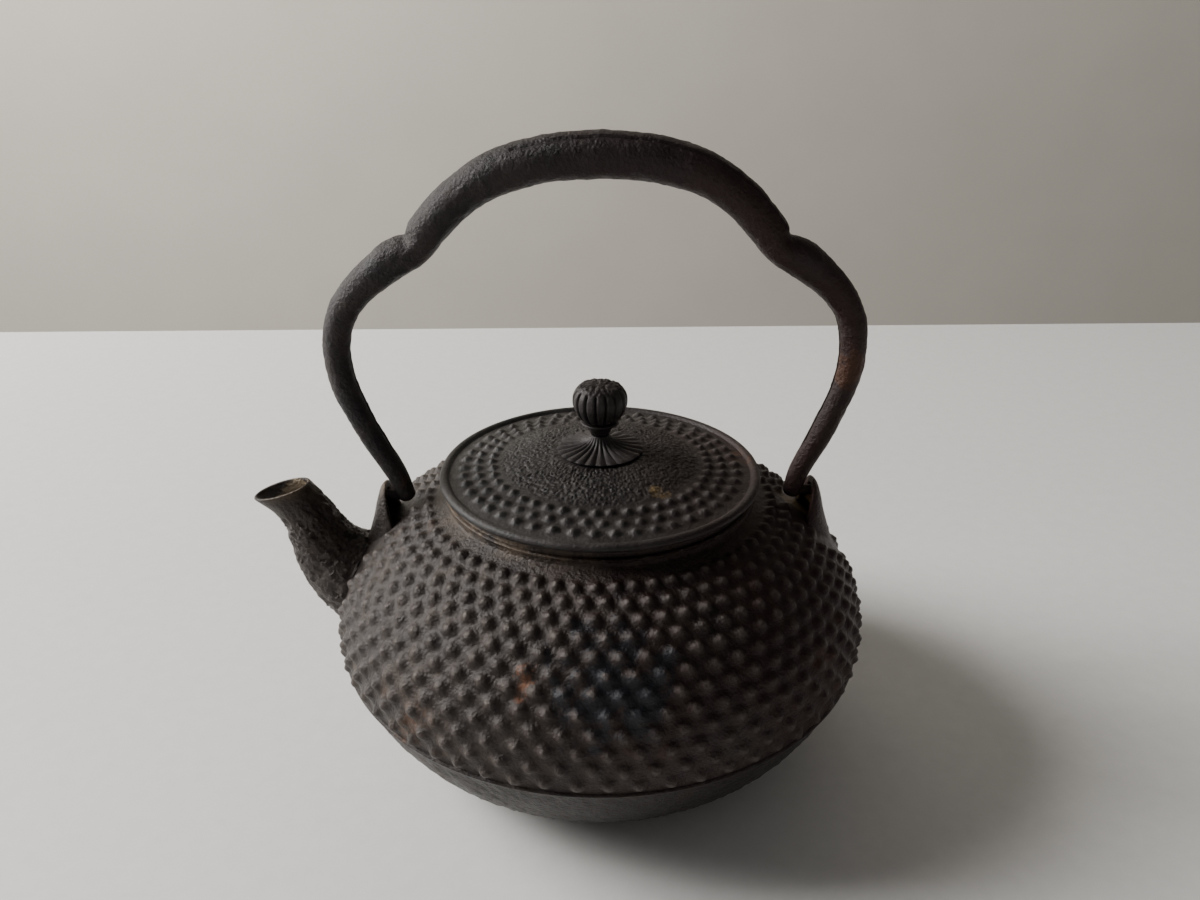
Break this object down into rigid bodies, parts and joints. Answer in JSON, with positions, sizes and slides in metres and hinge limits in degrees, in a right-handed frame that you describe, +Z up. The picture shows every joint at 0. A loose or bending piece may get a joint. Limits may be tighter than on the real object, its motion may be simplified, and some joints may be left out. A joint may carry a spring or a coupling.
{
  "type": "cast iron kettle",
  "caption": "Squat round cast iron water kettle with a studded shoulder, short curved spout, hinged hollow arched handle and a domed lift-off lid with a bud knob.",
  "frame": {"origin": "centre of the flat base that the kettle rests on", "axes": "+Z up along the kettle's turned axis, -X towards the spout, the handle's hinge line along X"},
  "size_m": [0.1919, 0.1668, 0.1921],
  "materials": {
    "body_iron": "dark brown-black lacquered cast iron with rust traces",
    "lid_iron": "dark grey-black cast iron, pitted in the middle",
    "bail_iron": "forged iron, satin brown-black, worn lighter on the crests",
    "knob_iron": "smooth dark iron polished by handling"
  },
  "bodies": {
    "kettle": {"kettle_body": "body_iron", "spout": "body_iron", "lug_spout_side": "body_iron", "lug_far_side": "body_iron"},
    "bail": {"bail_handle": "bail_iron"},
    "lid": {"lid": "lid_iron", "knob_washer": "knob_iron", "knob_seat": "knob_iron"},
    "knob": {"knob": "knob_iron", "knob_pin": "knob_iron"}
  },
  "joints": [
    {"name": "bail_swing", "type": "hinge", "parent": "kettle", "child": "bail", "pos_m": [0, 0, 0.0825], "axis": [1, 0, 0], "range_deg": [-85, 85]},
    {"name": "lid_lift", "type": "slide", "parent": "kettle", "child": "lid", "axis": [0, 0, 1], "range_m": [0, 0.045]},
    {"name": "knob_spin", "type": "hinge", "parent": "lid", "child": "knob", "pos_m": [0, 0, 0.11], "axis": [0, 0, 1], "continuous": true}
  ]
}
